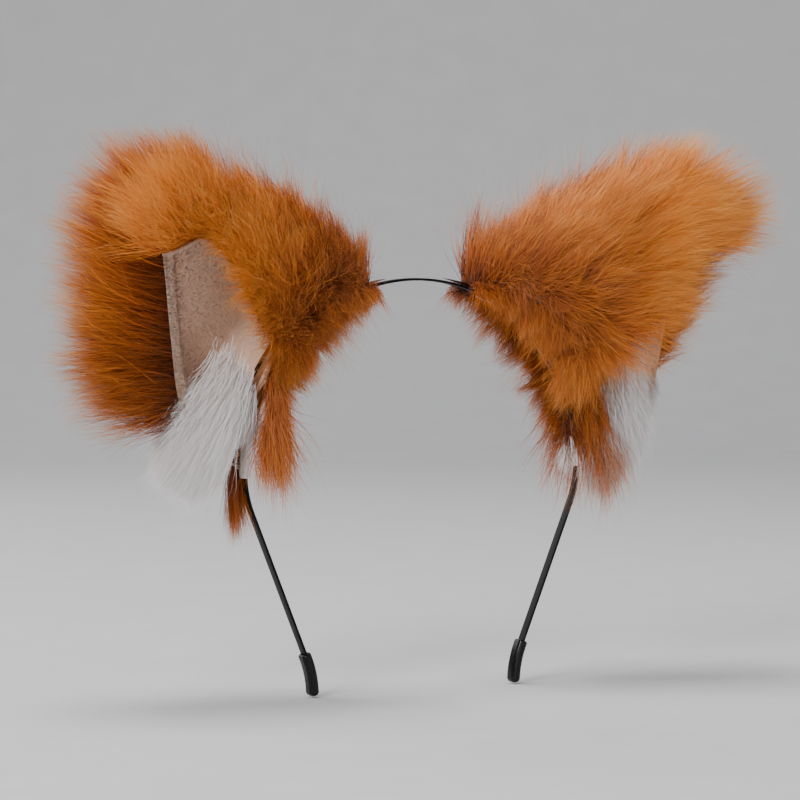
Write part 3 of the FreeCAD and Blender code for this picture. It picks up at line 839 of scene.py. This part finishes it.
def foot_strands(count, seed, side, length):
    """Long white fibres on the outer side of the rim's foot, where no orange pile grows."""
    random = np.random.default_rng(seed)
    angle = random.uniform(316.0 if side > 0 else 290.0, 362.0, count)
    height = random.uniform(50.0, 82.0 if side < 0 else 92.0, count)
    roots = pull_to_hoop(cloth_point(angle, height, 0))
    normals = cloth_normal(angle, height, 0)
    stray = random.normal(size=(count, 3))
    start = normals * 0.45 + DOWN * 0.7 + SIDEWAYS * (0.8 if side < 0 else 0.0) + stray * 0.14
    end = DOWN + SIDEWAYS * (0.5 if side < 0 else -0.05) + normals * 0.05 + stray * 0.14
    lengths = random.uniform(*length, count) * (1 - 0.4 * smooth_step((height - 66.0) / 20.0))
    tones = 0.60 + 0.2 * patchy(roots, 11.0, seed + 3) + random.normal(size=count) * 0.10
    widths = random.uniform(0.16, 0.22, count)
    strands = Strands(roots, normals, start, end, lengths, widths, tones, seed + 2)
    return off_binding(strands, side)


# ---------------------------------------------------------------- the two ears


def attach(piece, body, node):
    """A piece rides on a body, in place of a node of the frame, which is hidden."""
    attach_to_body(piece, body)
    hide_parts(node)


def make_ear(name, side):
    """All the visible pieces of one ear, riding on its body."""
    seed = 1000 if side > 0 else 2000
    body = f"{name}_ear"
    fur = make_fur(name, side)
    backing = make_backing(name, side)
    for piece in fur + [backing]:
        attach(piece, body, f"{name}_ear_fur")
    plush = lining_strands(48000, seed).mesh(
        f"{name}_ear_lining_pile", PLUSH, side,
        segments=2, curl=0.15, clumping=0.1, clump_size=10, soften=0.95)
    lining = make_lining(name, side)
    for piece in (lining, plush):
        attach(piece, body, f"{name}_ear_lining")
    tuft = tuft_strands(18000, seed + 40, side, (20, 31) if side < 0 else (16, 25), 0.19).mesh(
        f"{name}_white_tuft_pile", WHITE, side,
        segments=6, curl=2.4, clumping=0.35, clump_size=14, soften=0.75)
    foot = foot_strands(7000, seed + 60, side, (17, 25) if side < 0 else (12, 18)).mesh(
        f"{name}_white_foot_pile", WHITE, side,
        segments=5, curl=2.2, clumping=0.4, clump_size=14, soften=0.6)
    for piece in (tuft, foot):
        attach(piece, body, f"{name}_white_tuft")


for ear_name, ear_side in SIDES.items():
    make_ear(ear_name, ear_side)

# ---------------------------------------------------------------- the hoop

# Length and curve (one over its radius) of each stretch of the hoop's line, from the crown down.
ROUND_ANGLE = 87.0
BEND_RADIUS = 34.0
BEND_ANGLE = 25.5
LEG_LENGTH = 50.9
CAP_STRAIGHT = 1.5
IN_CAP = 9.3
STRETCHES = [
    (HOOP_RADIUS * math.radians(ROUND_ANGLE), 1 / HOOP_RADIUS),
    (BEND_RADIUS * math.radians(BEND_ANGLE), 1 / BEND_RADIUS),
    (LEG_LENGTH + CAP_STRAIGHT, 0.0),
    (IN_CAP - CAP_STRAIGHT, -1 / BEND_RADIUS),
]
STRIP_LENGTH = sum(stretch[0] for stretch in STRETCHES)


def hoop_line(along):
    """Points of the hoop's line at distances from the crown, and its outward directions there."""
    points = np.zeros((len(along), 3))
    turns = np.zeros(len(along))
    start, turn, x, z = 0.0, 0.0, 0.0, HOOP_RADIUS
    for length, curve in STRETCHES:
        part = np.append(along - start, length)
        if curve:
            angle = turn + part * curve
            across = x + (np.sin(angle) - math.sin(turn)) / curve
            down = z + (np.cos(angle) - math.cos(turn)) / curve
        else:
            angle = turn + 0 * part
            across = x + part * math.cos(turn)
            down = z - part * math.sin(turn)
        here = along >= start
        points[here, 0] = across[:-1][here]
        points[here, 2] = down[:-1][here]
        turns[here] = angle[:-1][here]
        start, turn, x, z = start + length, angle[-1], across[-1], down[-1]
    outward = np.stack([np.sin(turns), 0 * turns, np.cos(turns)], axis=-1)
    return points, outward


def rounded_section(half_out, half_back, corner, steps):
    """Outward and backward offsets round a rounded rectangle, and the outward normals there."""
    offsets = []
    normals = []
    for quarter, (sign_out, sign_back) in enumerate([(1, 1), (-1, 1), (-1, -1), (1, -1)]):
        for step in range(steps + 1):
            angle = math.pi / 2 * (quarter + step / steps)
            normal = (math.cos(angle), math.sin(angle))
            offsets.append((sign_out * (half_out - corner) + corner * normal[0],
                            sign_back * (half_back - corner) + corner * normal[1]))
            normals.append(normal)
    return np.array(offsets), np.array(normals)


def swept(name, along, sections, side, material, closed_start=True):
    """A piece swept along the hoop's line through sections of outward and backward offsets."""
    centre, outward = hoop_line(along)
    points = centre[:, None, :] + sections[..., 0:1] * outward[:, None, :]
    points[..., 1] += sections[..., 1]
    points[..., 0] *= side
    rows, columns = sections.shape[:2]
    faces = grid_faces(rows, columns, closed=True)
    faces.append(tuple((rows - 1) * columns + column for column in range(columns)))
    if closed_start:
        faces.append(tuple(reversed(range(columns))))
    if side > 0:
        faces = [face[::-1] for face in faces]
    piece = mesh_piece(name, points.reshape(-1, 3), faces, material)
    for polygon in piece.data.polygons:
        polygon.use_smooth = len(polygon.vertices) == 4
    return piece


def at_hoop_angle(angle):
    """Distance from the crown to an angle on the round top."""
    return HOOP_RADIUS * math.radians(angle)


def make_strip(name, side):
    """One half of the strip in one piece, swept along the hoop's line."""
    along = np.linspace(0, STRIP_LENGTH, 200)
    section, _ = rounded_section(STRIP_THICK / 2, STRIP_WIDTH / 2, 0.24, 4)
    strip = swept(f"{name}_strip", along, np.repeat(section[None], len(along), axis=0), side, LACQUER,
                  closed_start=False)
    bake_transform(strip)
    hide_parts("hoop_crown", f"{name}_hoop_arm")


# Thread binding: its outside size, the pitch of its turns and how deep the grooves between them are.
BINDING_HALF = 1.2
BINDING_BREADTH = 2.1
THREAD_PITCH = 0.82
THREAD_GROOVE = 0.17


def make_binding(name, part, first, length, side):
    """Thread wound tightly round the strip: every turn stands out as a rib."""
    along = np.linspace(first, first + length, int(length / 0.07))
    section, normals = rounded_section(BINDING_HALF, BINDING_BREADTH, 0.9, 8)
    around = np.linspace(0, 1, len(section), endpoint=False)
    turn = (along - first)[:, None] / THREAD_PITCH + around[None, :]
    groove = 1 - np.sqrt(np.clip(1 - (2 * (turn % 1.0) - 1) ** 2, 0, 1))
    to_end = np.minimum(along - first, first + length - along)
    close = np.clip(1 - to_end / 0.5, 0, 1)
    shrink = 0.55 * (1 - np.sqrt(1 - close ** 2))
    random = np.random.default_rng(int(first * 10))
    wander = 0.03 * np.sin(turn * 2.1 + random.uniform(0, 6)) * np.sin(turn * 0.7)
    offset = -THREAD_GROOVE * groove - shrink[:, None] + wander
    sections = section[None] + normals[None] * offset[..., None]
    piece = swept(f"{name}_{part}_thread", along, sections, side, THREAD)
    attach(piece, f"{name}_arm", f"{name}_{part}")


# Felt pad under the ear: where it starts and stops, and its thickness and width.
PAD_ANGLES = (27.9, 79.8)
PAD_OUT = (0.4, 2.5)
PAD_HALF_WIDTH = 5.0
PAD_EDGE = 0.8


def make_pad(name, side):
    """Felt pad on the strip's outer side: a soft-edged band, a little fuller along its middle."""
    first, last = (at_hoop_angle(angle) for angle in PAD_ANGLES)
    along = np.linspace(first, last, 90)
    half = (PAD_OUT[1] - PAD_OUT[0]) / 2
    section, normals = rounded_section(half, PAD_HALF_WIDTH, PAD_EDGE, 6)
    close = np.clip(1 - np.minimum(along - first, last - along) / PAD_EDGE, 0, 1)
    shrink = PAD_EDGE * (1 - np.sqrt(1 - close ** 2))
    crown = 0.25 * np.cos(section[:, 1] / PAD_HALF_WIDTH * math.pi / 2) * (section[:, 0] > 0)
    sections = section[None] - normals[None] * shrink[:, None, None]
    sections[..., 0] += (PAD_OUT[0] + PAD_OUT[1]) / 2 - 0.12 + crown[None]
    piece = swept(f"{name}_felt_pad", along, sections, side, FELT)
    attach(piece, f"{name}_arm", f"{name}_base_pad")


UPPER_BINDING = (at_hoop_angle(23.0), at_hoop_angle(4.5))
LOWER_BINDING = (at_hoop_angle(80.2), 11.0)

for ear_name, ear_side in SIDES.items():
    make_strip(ear_name, ear_side)
    make_binding(ear_name, "upper_binding", *UPPER_BINDING, ear_side)
    make_binding(ear_name, "lower_binding", *LOWER_BINDING, ear_side)
    make_pad(ear_name, ear_side)

# ---------------------------------------------------------------- shaping wires

WIRE_RADIUS = 0.5
WIRE_INSET = 1.9


def make_wire(name, side):
    """Shaping wire inside the rolled rims: up the lateral rim, over the top and down the flap's edge."""
    up = np.linspace(60.0, 118.0, 40)
    rise = cloth_point(np.full(40, 349.0), up, WIRE_INSET)
    over_angle = np.linspace(349.0, 130.0, 24)[1:-1]
    over_height = 118.0 + 7.0 * np.sin(np.linspace(0, math.pi, 24)[1:-1]) ** 0.7
    over = cloth_point(over_angle, over_height, WIRE_INSET)
    down = np.linspace(116.0, 70.0, 40)
    fall_angle = np.maximum(flap_edge(down) + np.degrees(3.5 / half_breadth(down)), 118.0 * (down > 112))
    fall = cloth_point(fall_angle, down, WIRE_INSET)
    path = np.concatenate([rise, over, fall])
    for _ in range(6):
        path[1:-1] = (path[:-2] + 2 * path[1:-1] + path[2:]) / 4
    along = unit(np.gradient(path, axis=0))
    across = unit(np.cross(along, np.array([0, 1.0, 0.2])))
    third = np.cross(along, across)
    turn = np.linspace(0, 2 * math.pi, 12, endpoint=False)
    ring = (np.cos(turn)[None, :, None] * across[:, None] + np.sin(turn)[None, :, None] * third[:, None])
    points = place_ear(path[:, None] + WIRE_RADIUS * ring, side)
    faces = grid_faces(len(path), 12, closed=True)
    wire = mesh_piece(f"{name}_shaping_wire", points.reshape(-1, 3), faces, STEEL)
    attach(wire, f"{name}_ear", f"{name}_ear_wire")


for ear_name, ear_side in SIDES.items():
    make_wire(ear_name, ear_side)

# ---------------------------------------------------------------- CAD pieces that stay as they are

for ear_name in SIDES:
    for part_name, part_material in [("end_cap", CAP), ("ear_stiffener", FELT)]:
        node = frame["nodes"][f"{ear_name}_{part_name}"]
        node.data.materials.clear()
        node.data.materials.append(part_material)

# ---------------------------------------------------------------- floor, light and camera

# Sizes of the floor and of its sweep, in metres.
FLOOR_GAP = 0.0005
FLOOR_FRONT = -2.0
FLOOR_BACK = 1.2
FLOOR_HALF_WIDTH = 4.0
SWEEP_RADIUS = 0.8
SWEEP_TOP = 4.0
CAMERA_YAW = math.radians(30.0)
CAMERA_PITCH = math.radians(2.7)
CAMERA_PLACE = Vector((-0.6680, -1.1474, 0.0865))
CAMERA_LENS = 180.0
SENSOR_WIDTH = 36.0
LIGHTS_AIM = Vector((0, 0, 0.04))


def make_floor():
    """A pale sweep: a flat floor that curves up behind the object."""
    floor_z = cad_box[0][2] - FLOOR_GAP
    profile = [(FLOOR_FRONT, 0.0), (FLOOR_BACK, 0.0)]
    for step in range(1, 17):
        turn = math.pi / 2 * step / 16
        profile.append((FLOOR_BACK + SWEEP_RADIUS * math.sin(turn), SWEEP_RADIUS * (1 - math.cos(turn))))
    profile.append((FLOOR_BACK + SWEEP_RADIUS, SWEEP_TOP))
    points = []
    for y, z in profile:
        points += [(-FLOOR_HALF_WIDTH, y, floor_z + z), (FLOOR_HALF_WIDTH, y, floor_z + z)]
    faces = grid_faces(len(profile), 2)
    mesh = bpy.data.meshes.new("floor")
    mesh.from_pydata(points, [], faces)
    paper = [(0.3, (0.60, 0.60, 0.61)), (0.7, (0.63, 0.63, 0.64))]
    mesh.materials.append(noise_material("pale_paper", paper, 40.0, (0.8, 0.9), 0.02))
    mesh.shade_smooth()
    floor = link("floor", mesh)
    floor.rotation_euler = Euler((0, 0, -CAMERA_YAW))


make_floor()

camera_data = bpy.data.cameras.new("camera")
camera_data.lens = CAMERA_LENS
camera_data.sensor_width = SENSOR_WIDTH
camera = bpy.data.objects.new("camera", camera_data)
bpy.context.scene.collection.objects.link(camera)
camera.location = CAMERA_PLACE
camera.rotation_euler = Euler((math.pi / 2 - CAMERA_PITCH, 0, -CAMERA_YAW))
bpy.context.scene.camera = camera


def area_light(name, place, size, power, colour=(1, 1, 1)):
    """A soft square light that points at the headband."""
    data = bpy.data.lights.new(name, "AREA")
    data.shape = "SQUARE"
    data.size = size
    data.energy = power
    data.color = colour
    light = bpy.data.objects.new(name, data)
    bpy.context.scene.collection.objects.link(light)
    light.location = place
    aim = LIGHTS_AIM - Vector(place)
    light.rotation_euler = aim.to_track_quat("-Z", "Y").to_euler()


# Each light's place, size and power, and its colour where that isn't white.
area_light("key", (-1.4, -1.0, 1.0), 0.7, 27.0, (1.0, 0.98, 0.96))
area_light("fill", (-0.5, -1.7, 0.2), 1.2, 8.0, (1.0, 0.99, 0.97))
area_light("side", (1.2, -0.9, 0.6), 1.0, 4.0, (0.96, 0.98, 1.0))
area_light("top", (-0.2, 0.1, 1.5), 0.7, 19.0)
area_light("back", (-0.5, 1.0, 0.7), 0.9, 7.0)
world = bpy.data.worlds.new("studio")
world.use_nodes = True
world.node_tree.nodes["Background"].inputs["Color"].default_value = (0.80, 0.82, 0.86, 1)
world.node_tree.nodes["Background"].inputs["Strength"].default_value = 0.27
bpy.context.scene.world = world
